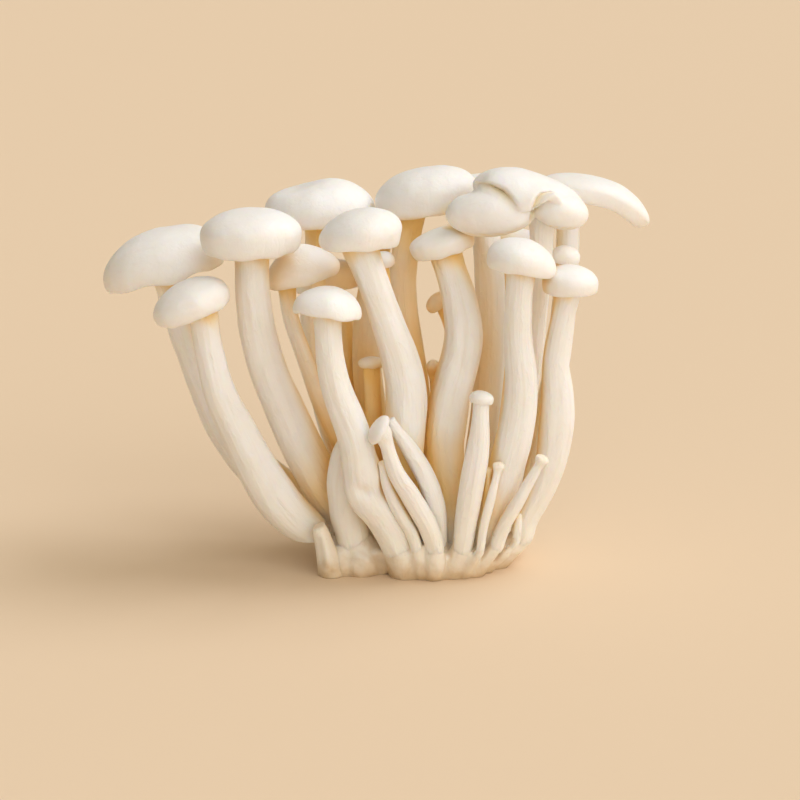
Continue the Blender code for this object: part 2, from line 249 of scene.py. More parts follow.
def makeFootFlesh():
    look = footFleshLook
    recipe = Recipe(bpy.data.materials.new("footFlesh"))
    place = recipe.coordinates()
    height = recipe.node("ShaderNodeSeparateXYZ", {}, {0: place}, output=2)
    patches = recipe.clouds(place, look["patches"], 5, 0.6, 0.5)
    crumbs = recipe.clouds(place, look["crumbs"], 4, 0.65)
    ribs = recipe.clouds(recipe.stretch(place, (1, 1, 0.12)), look["ribs"], 4, 0.6)
    rise = height + (patches - 0.5) * look["uneven"]
    colour = recipe.mix(recipe.between(rise, *look["paleHeights"]), look["tan"], look["pale"])
    # darker near the floor: the cut's own brown, and painted contact shadow
    cut = 1 - recipe.between(rise, *look["cutAndContactShadeHeights"])
    colour = recipe.mix(cut * look["cutAndContactShadeShare"], colour, look["cut"])
    # painted shade in the foot's hollows
    hollowShade = 1 - recipe.between(recipe.attribute("air", "Fac"), *look["hollowShade"])
    colour = recipe.mix(hollowShade * look["hollowShadeShare"], colour, look["tan"])
    loose = recipe.between(crumbs, 0.6, 0.75)
    colour = recipe.mix(loose * look["crumbShare"], colour, look["crumb"])
    normal = recipe.bump(ribs, 0.5, look["ribDepth"])
    normal = recipe.bump(crumbs, 0.35, look["crumbDepth"], normal)
    least, added = look["roughness"]
    return fleshShader(recipe, colour, least + patches * added, normal, look["coat"], look["depth"])


def fanOut(count):  # evenly spread directions, all the way round
    for i in range(count):
        up = 1 - (2 * i + 1) / count
        turn = i * math.pi * (3 - math.sqrt(5))
        flat = math.sqrt(1 - up * up)
        yield Vector((math.cos(turn) * flat, math.sin(turn) * flat, up))


airLook = {"rays": 60, "reach": 60 * mm, "lift": 0.35 * mm, "grazing": 0.08}
airRays = list(fanOut(airLook["rays"]))


def openAir(tree, place, normal):  # the share of the surroundings that a point can see
    seen = total = 0
    start = place + normal * airLook["lift"]
    for ray in airRays:
        facing = ray.dot(normal)
        if facing > airLook["grazing"]:
            total += facing
            if tree.ray_cast(start, ray, airLook["reach"])[0] is None:
                seen += facing
    return seen / total


def airMap(name):  # the openness at each corner of the CAD node, a little evened out
    bm = cadCopy(name)
    bmesh.ops.triangulate(bm, faces=bm.faces)
    bm.normal_update()
    values = [openAir(wholeTree, v.co, v.normal) for v in bm.verts]
    bm.verts.index_update()
    for _ in range(2):
        around = []
        for v in bm.verts:
            nearby = [values[edge.other_vert(v).index] for edge in v.link_edges]
            around.append(sum(nearby) / len(nearby))
        values = [(value + mean) / 2 for value, mean in zip(values, around)]
    corners = [[(v.co.copy(), values[v.index]) for v in face.verts] for face in bm.faces]
    tree = BVHTree.FromBMesh(bm)
    bm.free()
    return tree, corners


def shareAir(bm, name, airy=0):  # hands the CAD node's openness on to a finished piece, where it sets the painted shade; airy raises it, which paints less
    tree, corners = airMap(name)
    air = bm.verts.layers.float.new("air")
    for v in bm.verts:
        place, _, index, _ = tree.find_nearest(v.co)
        near = corners[index]
        weights = poly_3d_calc([corner for corner, _ in near], place)
        value = sum(weight * value for weight, (_, value) in zip(weights, near))
        v[air] = value + (1 - value) * airy


def blur(values, passes):  # evens out a run of values, and leaves its two ends alone
    for _ in range(passes):
        inner = [(a + b * 2 + c) / 4 for a, b, c in zip(values, values[1:], values[2:])]
        values = [values[0], *inner, values[-1]]
    return values


def headingsOf(centres):
    inner = [(b - a).normalized() for a, b in zip(centres, centres[2:])]
    return [inner[0], *inner, inner[-1]]


def cadCopy(name):  # the node's loose triangles, joined up in a copy
    bm = bmesh.new()
    bm.from_mesh(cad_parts[name].data)
    bmesh.ops.remove_doubles(bm, verts=bm.verts, dist=0.02 * mm)
    return bm


def wallsRound(tree, centre, heading, rays=16):  # how far the wall is on every side, nearest first
    side = heading.orthogonal().normalized()
    walls = []
    for turn in range(rays):
        ray = Matrix.Rotation(turn * math.tau / rays, 3, heading) @ side
        place, _, _, distance = tree.ray_cast(centre, ray)
        if place:
            walls.append((distance, place))
    return sorted(walls, key=lambda wall: wall[0])


def middle(walls):  # the middle of the places where the rays met the wall
    return sum((place for _, place in walls), Vector()) / len(walls)


def flatEnd(bm):  # where the stem stops under its cap, and which way that end looks
    bmesh.ops.dissolve_limit(bm, angle_limit=math.radians(0.3), verts=bm.verts, edges=bm.edges)
    flats = [face for face in bm.faces if len(face.verts) > 7 and face.normal.z > -0.5]
    roundest = max(flats, key=lambda face: face.calc_area() / face.calc_perimeter() ** 2)
    return roundest.calc_center_median(), roundest.normal.copy()


def walkStem(name, step):  # follows a CAD stem from its foot to its end, and measures it
    bm = cadCopy(name)
    tree = BVHTree.FromBMesh(bm)
    points = [v.co.copy() for v in bm.verts]
    end, axis = flatEnd(bm)
    bm.free()
    low = min(point.z for point in points)
    base = [point for point in points if point.z < low + 0.05 * mm]
    here = sum(base, Vector()) / len(base) + Vector((0, 0, 0.2 * mm))
    above = middle(wallsRound(tree, here + Vector((0, 0, 1.5 * mm)), Vector((0, 0, 1))))
    heading = (above - here).normalized()
    centres = [here]
    while (end - here).length > step * 1.3:
        walls = wallsRound(tree, here + heading * step, heading)
        if (end - here).length > walls[len(walls) // 2][0] * 2:
            here = middle(walls)
            heading = heading.lerp((here - centres[-1]).normalized(), 0.6).normalized()
        else:
            heading = (end - here).normalized()
            here = here + heading * step
        centres.append(here)
    centres = blur([*centres, end], 4)
    headings = headingsOf(centres)
    radii = []
    for centre, heading in zip(centres[:-1], headings):
        walls = wallsRound(tree, centre, heading)
        radii.append(walls[len(walls) // 2][0])
    radii = blur([*radii, radii[-1]], 3)
    return {"centres": centres, "headings": headings, "radii": radii, "axis": axis, "step": step}


def gathered(place):  # where a stem that ends here would meet the cut base
    inward, back = footLook["gather"]
    return Vector((place.x * inward, place.y * back, 0))


def tucked(place):  # the way in under the bunch from where a stem ends
    inward, back, height = footLook["tuck"]
    return Vector((place.x * inward, place.y * back, height))


def extendWalk(walk, below, above):  # runs a stem on into the foot and into its cap
    step = walk["step"]
    centres, radii = list(walk["centres"]), list(walk["radii"])
    heading = walk["headings"][0]
    under = centres[0] - tucked(centres[0])
    for _ in range(round(below / step)):
        heading = heading.lerp(under.normalized(), 0.5).normalized()
        centres.insert(0, centres[0] - heading * step)
        radii.insert(0, radii[0] * 0.9)
    for _ in range(round(above / step)):
        centres.append(centres[-1] + walk["axis"] * step)
        radii.append(radii[-1])
    centres = blur(centres, 2)
    return {**walk, "centres": centres, "headings": headingsOf(centres), "radii": radii}


def sidesAlong(headings):  # one sideways direction for each point, with no twist
    side = headings[0].orthogonal().normalized()
    sides = []
    for heading in headings:
        side = (side - heading * side.dot(heading)).normalized()
        sides.append(side)
    return sides


def touchUp(bm, touches):  # swells or presses the surface along short lines
    bm.normal_update()
    for start, end, reach, lift in touches:
        start, end = Vector(start) * mm, Vector(end) * mm
        line = end - start
        for v in bm.verts:
            share = (v.co - start).dot(line) / line.length_squared
            away = (v.co - start - line * min(1.0, max(0.0, share))).length / (reach * mm)
            if away < 2.5:
                v.co += v.normal * lift * mm * math.exp(-away * away)


def finish(name, bm, material, node):
    bmesh.ops.recalc_face_normals(bm, faces=bm.faces)
    mesh = bpy.data.meshes.new(name)
    bm.to_mesh(mesh)
    bm.free()
    mesh.shade_smooth()
    mesh.materials.append(material)
    piece = bpy.data.objects.new(name, mesh)
    bpy.context.scene.collection.objects.link(piece)
    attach(piece, "root")
    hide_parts(node)


def wrapTube(walk, sides, rings, bulge):
    # a flat grid is rolled round the walk, and its seam welded
    bm = bmesh.new()
    bmesh.ops.create_grid(bm, x_segments=sides, y_segments=rings, size=0.5)
    grain = bm.verts.layers.float_vector.new("grain")
    centres, headings, radii = walk["centres"], walk["headings"], walk["radii"]
    aside = sidesAlong(headings)
    last = len(centres) - 1
    length = walk["step"] * last
    for v in bm.verts:
        turn = (v.co.x + 0.5) * math.tau
        share = v.co.y + 0.5
        index = min(int(share * last), last - 1)
        part = share * last - index
        centre = centres[index].lerp(centres[index + 1], part)
        heading = headings[index].lerp(headings[index + 1], part).normalized()
        side = aside[index].lerp(aside[index + 1], part)
        radius = radii[index] * (1 - part) + radii[index + 1] * part
        radius = bulge(radius, math.cos(turn), math.sin(turn), share * length)
        out = side * math.cos(turn) + heading.cross(side) * math.sin(turn)
        v.co = centre + out * radius
        v[grain] = (math.cos(turn) * radius, math.sin(turn) * radius, share * length)
    bmesh.ops.remove_doubles(bm, verts=bm.verts, dist=0.004 * mm)
    bmesh.ops.holes_fill(bm, edges=[e for e in bm.edges if e.is_boundary], sides=0)
    return bm


def flatCut(bm, level):  # takes away what lies below a level, and closes the cut
    cut = bmesh.ops.bisect_plane(
        bm, geom=bm.verts[:] + bm.edges[:] + bm.faces[:], plane_co=(0, 0, level),
        plane_no=(0, 0, -1), clear_outer=True,
    )
    rim = [e for e in cut["geom_cut"] if isinstance(e, bmesh.types.BMEdge)]
    bmesh.ops.holes_fill(bm, edges=rim, sides=0)


def dropCrumbs(bm):  # keeps only the largest shell
    left = set(bm.verts)
    shells = []
    while left:
        shell, edge = set(), {left.pop()}
        while edge:
            shell |= edge
            edge = {e.other_vert(v) for v in edge for e in v.link_edges} - shell
        left -= shell
        shells.append(shell)
    largest = max(shells, key=len)
    crumbs = [v for v in bm.verts if v not in largest]
    bmesh.ops.delete(bm, geom=crumbs, context="VERTS")


stemLook = {
    "walk": 1.0 * mm, "sides": 72, "ring": 0.7 * mm, "below": 3 * mm, "above": 2.5 * mm,
    "lump": 0.05, "ridge": 0.05, "fine": 0.02, "knob": 0.022, "flare": 0.10,
    "flareReach": 2.4 * mm, "touches": (), "airy": 0, "cutOff": False, "cutLevel": 6.8 * mm,
}


def makeStem(node, seed, material, look):
    walk = walkStem(node, look["walk"])
    longer = extendWalk(walk, look["below"], look["above"])
    length = longer["step"] * (len(longer["centres"]) - 1)
    gills = length - look["above"]

    def bulge(radius, across, deep, along):
        swell = look["lump"] * noise.noise((across * 0.7 + seed, deep * 0.7, along / (13 * mm)))
        swell += look["ridge"] * noise.noise((across * 2.2, deep * 2.2 + seed, along / (26 * mm)))
        swell += look["fine"] * noise.noise((across * 8, deep * 8, along / (24 * mm) + seed))
        swell += look["knob"] * noise.noise((across * 1.6, deep * 1.6 - seed, along / (5 * mm)))
        swell += look["flare"] * math.exp(-(((gills - along) / look["flareReach"]) ** 2))
        return radius * (1 + swell)

    bm = wrapTube(longer, look["sides"], round(length / look["ring"]), bulge)
    touchUp(bm, look["touches"])
    if look["cutOff"]:
        flatCut(bm, look["cutLevel"])
    shareAir(bm, node, look["airy"])
    finish("flesh_" + node, bm, material, node)
    return walk


capLook = {
    "fold": False, "touches": (), "above": 2.5 * mm, "gills": 72, "widest": 0.28, "lip": 0.12,
    "drop": 0.07, "round": 0.98, "flat": 1.0, "tall": 0.94, "grow": 1.0,
    "wide": 1.0, "shift": 0, "tilt": 0, "bends": (), "flare": 0.10, "flareReach": 2.4 * mm,
    "airy": 0, "cutOff": False,
    "crownRings": 22, "lipRings": 10, "gillRings": 9, "gillDepth": 0.10, "ceiling": 0.08,
    "rim": 0.08, "gillEnds": (0.3, 0.09), "shortGills": (0.42, 0.12),
    "lumps": 0.035, "droops": (), "dents": (), "peak": (0, 0), "wobble": 0.07,
}


def capOutline(look):  # shares of radius and height, from the crown round the margin to the gills
    widest, lip, drop = look["widest"], look["lip"], look["drop"]
    outline = []
    for i in range(look["crownRings"]):
        angle = math.pi / 2 * i / look["crownRings"]
        rise = max(0.0, math.cos(angle)) ** look["flat"]
        outline.append((math.sin(angle) ** look["round"], widest + (1 - widest) * rise))
    under = look["rim"] - drop
    turned = math.pi - math.asin((widest - under) / (widest + drop))
    for i in range(look["lipRings"] + 1):
        angle = turned * i / look["lipRings"]
        outline.append((1 - lip + lip * math.cos(angle), widest - (widest + drop) * math.sin(angle)))
    edge = outline[-1][0]
    for i in range(1, look["gillRings"] + 1):
        share = 1 - i / look["gillRings"]
        outline.append((edge * share, under + look["ceiling"] * math.sin(math.pi * share)))
    return outline, edge


def turnProfile(bm, outline, steps):  # spins the outline round the axis and welds the seam
    verts = [bm.verts.new((reach, 0, rise)) for reach, rise in outline]
    edges = [bm.edges.new(pair) for pair in zip(verts, verts[1:])]
    bmesh.ops.spin(
        bm, geom=verts + edges, axis=(0, 0, 1), cent=(0, 0, 0), angle=math.tau, steps=steps,
        use_merge=True,
    )
    bmesh.ops.remove_doubles(bm, verts=bm.verts, dist=1e-5)


def smooth(value):  # eases from 0 to 1
    value = min(1.0, max(0.0, value))
    return value * value * (3 - 2 * value)


def bearingGap(a, b):
    return abs((a - b + 180) % 360 - 180)


def capSize(node, walk, tilt):
    axis = walk["axis"]
    right = Vector((axis.z, 0, -axis.x)).normalized()
    turn = Matrix((right, axis.cross(right), axis)).transposed()
    turn = turn @ Matrix.Rotation(math.radians(tilt), 3, "Y")
    gills = walk["centres"][-1] + axis * seatGap
    bm = cadCopy(node)
    local = [turn.transposed() @ (v.co - gills) for v in bm.verts]
    bm.free()
    low = [min(p[i] for p in local) for i in range(3)]
    high = [max(p[i] for p in local) for i in range(3)]
    centre = gills + turn @ Vector(((low[0] + high[0]) / 2, (low[1] + high[1]) / 2, 0))
    return turn, centre, (high[0] - low[0]) / 2, (high[1] - low[1]) / 2, high[2]


def makeCap(node, walk, seed, material, look):
    turn, centre, halfWidth, halfDepth, height = capSize(node, walk, look["tilt"])
    outline, gillEdge = capOutline(look)
    bm = bmesh.new()
    turnProfile(bm, outline, look["gills"] * 4)
    gillsAndRecessShade = bm.verts.layers.float.new("gillsAndRecessShade")
    halfWidth, halfDepth = halfWidth * look["grow"] * look["wide"], halfDepth * look["grow"]
    height *= look["tall"] * look["grow"]
    radius = (halfWidth + halfDepth) / 2
    inner, outer = look["gillEnds"]
    halfway, fade = look["shortGills"]
    for v in bm.verts:
        reach = math.hypot(v.co.x, v.co.y)
        bearing = math.atan2(v.co.y, v.co.x)
        x, y, z = v.co.x * halfWidth, v.co.y * halfDepth, v.co.z * height
        odd = round(bearing * look["gills"] / math.tau) % 2
        if reach < gillEdge - 1e-4 and v.co.z < 0.5:
            ridge = 1 if math.cos(bearing * look["gills"] + math.pi / 4) > 0 else 0
            ends = smooth((gillEdge - reach) / outer) * smooth(reach / inner)
            short = smooth((reach - halfway) / fade) if odd else 1  # every other gill stops halfway
            v[gillsAndRecessShade] = (1 - ridge * short) * ends
            z += v[gillsAndRecessShade] * look["gillDepth"] * radius
        degrees = math.degrees(bearing)
        for toward, lift, power in look["droops"]:
            along = reach * math.cos(math.radians(degrees - toward))
            z -= lift * mm * max(0.0, along) ** power
        margin = smooth((reach - 0.7) / 0.25) * (1 - smooth(v.co.z / 0.5))
        turned = Vector((math.cos(bearing), math.sin(bearing), seed)) * 1.9
        z += margin * look["wobble"] * radius * noise.noise(turned)
        crown = smooth(z / height)
        for dentX, dentY, spread, lift in look["dents"]:
            near = math.hypot(x / mm - dentX, y / mm - dentY) / spread
            z += lift * mm * crown * math.exp(-near * near)
        x += look["peak"][0] * mm * crown + look["shift"] * mm
        y += look["peak"][1] * mm * crown
        for start, curve in look["bends"]:  # rolls the right side down, from here on
            angle = (x / mm - start) / curve
            if angle > 0:
                x = (start + (curve + z / mm) * math.sin(angle)) * mm
                z = (curve + z / mm) * math.cos(angle) * mm - curve * mm
        spot = Vector((x, y, z)) / (radius * 0.8)
        lumps = look["lumps"] * radius
        swell = lumps * noise.noise(spot + Vector((seed, 0, 0)))
        swell += lumps * 0.3 * noise.noise(spot * 2.7 + Vector((0, seed, 0)))
        out = Vector((x, y, z - 0.2 * height)).normalized()
        v.co = centre + turn @ (Vector((x, y, z)) + out * swell)
    shareAir(bm, node, look["airy"])
    finish("skin_" + node, bm, material, node)


mushroomLooks = {
    "far_left": {
        "widest": 0.18, "lip": 0.06, "drop": 0.04, "droops": ((180, 0.7, 2),), "peak": (1.0, 0),
        "round": 0.86, "flat": 0.92, "cutOff": True,
    },
    "left": {"widest": 0.35, "lip": 0.15, "drop": 0.11, "tall": 0.90, "round": 0.93, "flat": 0.94},
    "left_front": {"widest": 0.32, "lip": 0.12, "drop": -0.03, "peak": (0.6, 0), "cutOff": True},
    "back_left": {"dents": ((-6, 0, 5, -1.4), (6, 0, 5, 0.6)), "tall": 0.92},
    "centre_left": {
        "widest": 0.28, "lip": 0.10, "peak": (1.6, 0), "tall": 0.92, "droops": ((180, 0.7, 2.4),),
    },
    "inner_left": {"round": 1.4, "flat": 1.3, "widest": 0.16, "lip": 0.10},
    "front_left": {
        "widest": 0.10, "lip": 0.07, "drop": 0.03, "droops": ((0, 0.7, 2),),
        "touches": (
            ((-11.5, -17, 20.5), (-15.5, -23, 22.8), 1.3, -1.3),
            ((-12.4, -19, 27.5), (-12.9, -21, 26.5), 3.0, 1.0),
            ((-19.5, -20, 21), (-18.5, -20, 17), 3.2, 0.9),
            ((-11.5, -19.0, 18.0), (-4.5, -15.5, 11.5), 2.5, 1.3),
        ),
    },
    "back_centre": {
        "peak": (0.6, 0), "widest": 0.34, "tall": 0.95, "round": 0.94, "flat": 0.95, "grow": 0.98,
    },
    "folded": {"fold": True, "above": 7 * mm, "airy": 0.5},
    "centre": {
        "widest": 0.42, "lip": 0.16, "tall": 1.0,
        "touches": (((7.4, -9.5, 57), (8.2, -11, 44), 0.8, -0.65),),
    },
    "front_right": {
        "widest": 0.27, "lip": 0.10, "drop": 0.03, "droops": ((0, 0.4, 2), (180, 0.1, 2)),
        "round": 1.02, "peak": (-1.0, 0), "tall": 0.93,
    },
    "right": {"widest": 0.30, "lip": 0.13, "drop": 0.06, "round": 1.10, "tall": 0.97},
    "inner_right": {"gills": 30, "airy": 0.3},
    "far_right": {
        "bends": ((-2.5, 15.5),), "widest": 0.50, "lip": 0.17, "drop": 0.08, "round": 0.86,
        "flat": 0.9, "gillDepth": 0.03, "tall": 1.1, "wobble": 0.02, "wide": 1.03, "shift": -1.3,
        "tilt": -12, "airy": 0.1,
    },
    "back_right": {"airy": 0.18},
    "inner_small": {"gills": 28},
    "inner_neck": {"gills": 26, "grow": 1.15},
    "inner_pin": {"gills": 28},
    "front_pin": {"gills": 28, "airy": 0.3},
    "left_pin": {
        "gills": 28, "grow": 1.28, "tall": 0.66, "tilt": -20, "widest": 0.2, "lip": 0.09,
        "drop": 0.02, "flare": 0.75, "flareReach": 2.6 * mm, "airy": 0.5,
    },
    "second_left_pin": {"gills": 24, "grow": 0.75, "shift": -1.1, "airy": 0.5},
    "rear_left": {},
    "rear_centre": {},
    "rear_right": {},
    "rear_low": {"gills": 48},
}


foldLook = {
    "voxel": 0.27 * mm, "smooth": 4, "gills": 46, "sides": 160,
    "outline": {"widest": 0.16, "lip": 0.10, "drop": 0.04},
    # how level the skin is where the gills begin, and how softly they do; then millimetres
    "underside": (0.72, 0.2), "gillDepth": 0.4, "lumpSize": 9, "lumps": (0.35, 0.1),
    "recessShade": 0.5,  # how much painted shadow, in the gills' colour, a hollow takes for each millimetre
    # centre, half sizes and drop to the right of each lobe, in the cap's own frame
    "crown": {"centre": (2.6, 0.2, 2.9), "size": (13.4, 10.0, 7.6), "drop": 17},
    "left": {"centre": (-5.6, -3.4, 1.9), "size": (10.2, 6.6, 5.6), "drop": -4},
    "right": {"centre": (9.8, -3.2, 2.2), "size": (6.3, 6.4, 4.2), "drop": 12},
    "notch": (-72, 14, 4.4),  # where the crown's edge lifts: bearing, spread, height
    # edges as seen from the front: across, up, depth of the hollow to the right of the path
    "edges": (
        {"reach": (0.18, 1.5), "path": (
            (-10.4, 7.0, 0), (-9.0, 7.7, 0.8), (-7.2, 7.5, 1.6), (-5.3, 6.9, 2.4), (-2.8, 5.6, 3.0),
            (-1.5, 4.3, 2.3), (-0.4, 2.6, 1.1), (0.8, 0.9, 0),
        )},
        {"reach": (0.18, 1.2), "path": (
            (2.9, -0.6, 1.6), (3.3, 1.8, 2.3), (4.0, 3.5, 2.3), (5.2, 4.8, 1.6), (7.2, 5.3, 0.8),
            (9.2, 4.7, 0),
        )},
    ),
    "touches": (
        ((-10.6, -3.0, 9.0), (-9.6, -3.0, 10.5), 2.4, -1.4),
        ((0.6, -9.0, 0.2), (2.0, -9.0, 1.6), 1.8, 0.5),
    ),
}


def melt(bm, voxel):  # fuses overlapping closed shapes into one skin
    mesh = bpy.data.meshes.new("melting")
    bm.to_mesh(mesh)
    bm.free()
    lump = bpy.data.objects.new("melting", mesh)
    bpy.context.scene.collection.objects.link(lump)
    remesh = lump.modifiers.new("remesh", "REMESH")
    remesh.mode = "VOXEL"
    remesh.voxel_size = voxel
    bpy.context.view_layer.update()
    melted = lump.evaluated_get(bpy.context.evaluated_depsgraph_get()).to_mesh()
    bm = bmesh.new()
    bm.from_mesh(melted)
    lump.to_mesh_clear()
    bpy.data.objects.remove(lump)
    bpy.data.meshes.remove(mesh)
    return bm


def relax(bm, passes):
    axes = {"use_axis_x": True, "use_axis_y": True, "use_axis_z": True}
    for _ in range(passes):
        bmesh.ops.smooth_vert(bm, verts=bm.verts, factor=0.5, **axes)
    bm.normal_update()


def hollow(edge, across, up):  # how deep the hollow beside an edge is at this spot, in mm
    spot = Vector((across, up))
    best, depth = math.inf, 0
    for (x1, y1, depth1), (x2, y2, depth2) in zip(edge["path"], edge["path"][1:]):
        start, line = Vector((x1, y1)), Vector((x2 - x1, y2 - y1))
        share = min(1.0, max(0.0, (spot - start).dot(line) / line.length_squared))
        away = spot - start - line * share
        if away.length < best:
            best = away.length
            near, far = edge["reach"]
            reach = near if line.cross(away) > 0 else far
            depth = (depth1 + (depth2 - depth1) * share) * math.exp(-((best / reach) ** 2))
    return depth


def makeFoldedCap(node, walk, seed, material, look):
    # a cap that grew folded: a crown that overhangs two lobes
    turn, centre, _, _, _ = capSize(node, walk, 0)
    fold = foldLook
    parts = bmesh.new()
    outline, _ = capOutline({**look, **fold["outline"]})
    turnProfile(parts, outline, fold["sides"])
    crown = fold["crown"]
    toward, spread, lift = fold["notch"]
    lean = Matrix.Rotation(math.radians(crown["drop"]), 3, "Y")
    for v in parts.verts:
        reach = math.hypot(v.co.x, v.co.y)
        gap = bearingGap(math.degrees(math.atan2(v.co.y, v.co.x)), toward) / spread
        shape = Vector([share * size * mm for share, size in zip(v.co, crown["size"])])
        low = smooth((reach - 0.45) / 0.5) * (1 - smooth((v.co.z - 0.1) / 0.7))
        shape.z += lift * mm * low * math.exp(-gap * gap)
        v.co = Vector(crown["centre"]) * mm + lean @ shape
    for lobe in (fold["left"], fold["right"]):
        place = Matrix.Translation(Vector(lobe["centre"]) * mm)
        place = place @ Matrix.Rotation(math.radians(lobe["drop"]), 4, "Y")
        place = place @ Matrix.Diagonal((*[size * mm for size in lobe["size"]], 1))
        bmesh.ops.create_uvsphere(parts, u_segments=64, v_segments=32, radius=1, matrix=place)
    bmesh.ops.recalc_face_normals(parts, faces=parts.faces)
    bm = melt(parts, fold["voxel"])
    relax(bm, fold["smooth"])
    touchUp(bm, fold["touches"])
    slant = math.radians(studio["elevation"])
    sight = Vector((0, -math.cos(slant), math.sin(slant)))
    gillsAndRecessShade = bm.verts.layers.float.new("gillsAndRecessShade")
    bm.normal_update()
    for edge in fold["edges"]:
        for v in bm.verts:
            if v.normal.dot(sight) > 0:
                up = (v.co.z * math.cos(slant) + v.co.y * math.sin(slant)) / mm
                depth = hollow(edge, v.co.x / mm, up)
                v.co -= sight * depth * mm * smooth(v.normal.dot(sight) * 3)
                # painted shadow in the hollow under each fold's edge
                v[gillsAndRecessShade] = min(1.0, v[gillsAndRecessShade] + depth * fold["recessShade"])
    relax(bm, 1)
    stem = turn.transposed() @ (walk["centres"][-1] - centre)
    level, fade = fold["underside"]
    lump, fine = fold["lumps"]
    for v in bm.verts:
        under = smooth((-v.normal.z - level) / fade)
        bearing = math.atan2(v.co.y - stem.y, v.co.x - stem.x)
        ridge = 0.5 + 0.5 * math.cos(bearing * fold["gills"])
        v[gillsAndRecessShade] = max(v[gillsAndRecessShade], under * (0.4 + 0.6 * ridge))
        v.co.z += under * ridge * fold["gillDepth"] * mm
        spot = v.co / (fold["lumpSize"] * mm)
        swell = lump * noise.noise(spot + Vector((seed, 0, 0))) + fine * noise.noise(spot * 3)
        v.co = centre + turn @ (v.co + v.normal * swell * mm)
    shareAir(bm, node, look["airy"])
    finish("skin_" + node, bm, material, node)


pinLook = {
    **stemLook, "walk": 0.5 * mm, "sides": 32, "ring": 0.4 * mm, "below": 2.5 * mm, "lump": 0.08,
    "tinted": 1.1 * mm,  # how far the tip's colour reaches down
}
pinKnobs = {  # how much wider the tip is
    "swollen_pin": 0, "hidden_pin": 0, "slim_pin": 0.1, "tiny_pin": 0.35, "twin_pin": 0.3,
    "right_pin": 0.35, "right_nub": 0,
}


stumpLook = {
    **stemLook, "walk": 0.5 * mm, "sides": 48, "ring": 0.3 * mm, "knob": 0.05, "fine": 0.03,
    "cut": (-0.45, -0.25, 0.86), "torn": 1.3 * mm, "lean": 2.0 * mm, "slim": 0.92, "heel": 0.44,
    "touches": (
        ((-23.2, -15.0, 2.6), (-23.0, -15.2, 2.2), 2.2, 0.7),
        ((-24.2, -16.0, 9.5), (-23.4, -15.6, 4.0), 0.9, 0.45),
        ((-25.6, -15.4, 9), (-25.0, -15.2, 3.5), 0.9, -0.45),
        ((-22.4, -16.0, 1.6), (-22.2, -16.0, 1.4), 0.7, -0.5),
    ),
}


def makeStump(node, seed, material, look):
    # a short stem torn off at a slant, wider where it was cut
    walk = walkStem(node, look["walk"])
    length = walk["step"] * (len(walk["centres"]) - 1)

    def bulge(radius, across, deep, along):
        down = 1 - along / length
        swell = look["ridge"] * noise.noise((across * 2.2, deep * 2.2 + seed, along / (26 * mm)))
        swell += look["fine"] * noise.noise((across * 7, deep * 7, along / (9 * mm)))
        swell += look["knob"] * noise.noise((across * 1.6, deep * 1.6 - seed, along / (4 * mm)))
        return radius * (look["slim"] + look["heel"] * down * down + swell)

    bm = wrapTube(walk, look["sides"], round(length / look["ring"]), bulge)
    for v in bm.verts:
        v.co.x += look["lean"] * (1 - v.co.z / length)
    top = walk["centres"][-1] - Vector((0, 0, look["torn"]))
    bmesh.ops.bisect_plane(
        bm, geom=bm.verts[:] + bm.edges[:] + bm.faces[:], plane_co=top, plane_no=look["cut"],
        clear_outer=True,
    )
    rim = [e for e in bm.edges if e.is_boundary]
    cut = bmesh.ops.holes_fill(bm, edges=rim, sides=0)["faces"]
    bmesh.ops.inset_region(bm, faces=cut, thickness=0.35 * mm, depth=0.15 * mm)
    touchUp(bm, look["touches"])
    flatCut(bm, 0)
    shareAir(bm, node)
    finish("flesh_" + node, bm, material, node)


def makePin(node, seed, material, look):
    # a young stem that ends in a blunt, slightly wider tip
    walk = walkStem(node, look["walk"])
    longer = extendWalk(walk, look["below"], 0)
    length = longer["step"] * (len(longer["centres"]) - 1)
    blunt = longer["radii"][-1]

    def bulge(radius, across, deep, along):
        swell = look["lump"] * noise.noise((across * 0.8 + seed, deep * 0.8, along / (6 * mm)))
        swell += look["ridge"] * noise.noise((across * 2.2, deep * 2.2 + seed, along / (12 * mm)))
        left = max(0.0, length - along) / max(blunt, 0.4 * mm)
        tip = math.sqrt(max(0.0, 1 - (1 - min(1, left)) ** 2))
        swell += look["tip"] * math.exp(-(((left - 1.1) / 0.9) ** 2))
        swell -= look["tip"] * 0.4 * math.exp(-(((left - 3.4) / 1.2) ** 2))
        return radius * (1 + swell) * max(tip, 0.02)

    bm = wrapTube(longer, look["sides"], round(length / look["ring"]), bulge)
    grain = bm.verts.layers.float_vector["grain"]
    tip = bm.verts.layers.float.new("tip")
    for v in bm.verts:
        v[tip] = math.exp(-(((length - v[grain].z) / look["tinted"]) ** 2))
    shareAir(bm, node)
    finish("flesh_" + node, bm, material, node)
    return walk


footLook = {
    "voxel": 0.45 * mm, "smooth": 4, "core": (0.84, 0.84, 0.9), "gather": (0.64, 0.84),
    "tuck": (0.45, 0.75, 3.5 * mm), "knots": 0.10,
    "lumps": ((4 * mm, 0.45), (1.5 * mm, 0.15)),  # size, and height in millimetres
    "edge": 1.2 * mm,  # the lumps fade out this near the cut
    # the roots, which thicken on their way down
    "sides": 24, "rings": 16, "top": 13 * mm, "slim": 0.80, "spread": 0.37, "skirt": 0.3 * mm,
    # swellings that carry the outermost stems: place and radius
    "heels": (
        ((-20.2, -10.3, 2.0), 4.6), ((-15.8, -11.0, 2.0), 4.4), ((-21.2, -6.0, 2.6), 4.5),
        ((-21.6, -0.5, 2.6), 4.5), ((-20.0, 5.0, 2.0), 4.4),
    ),
}


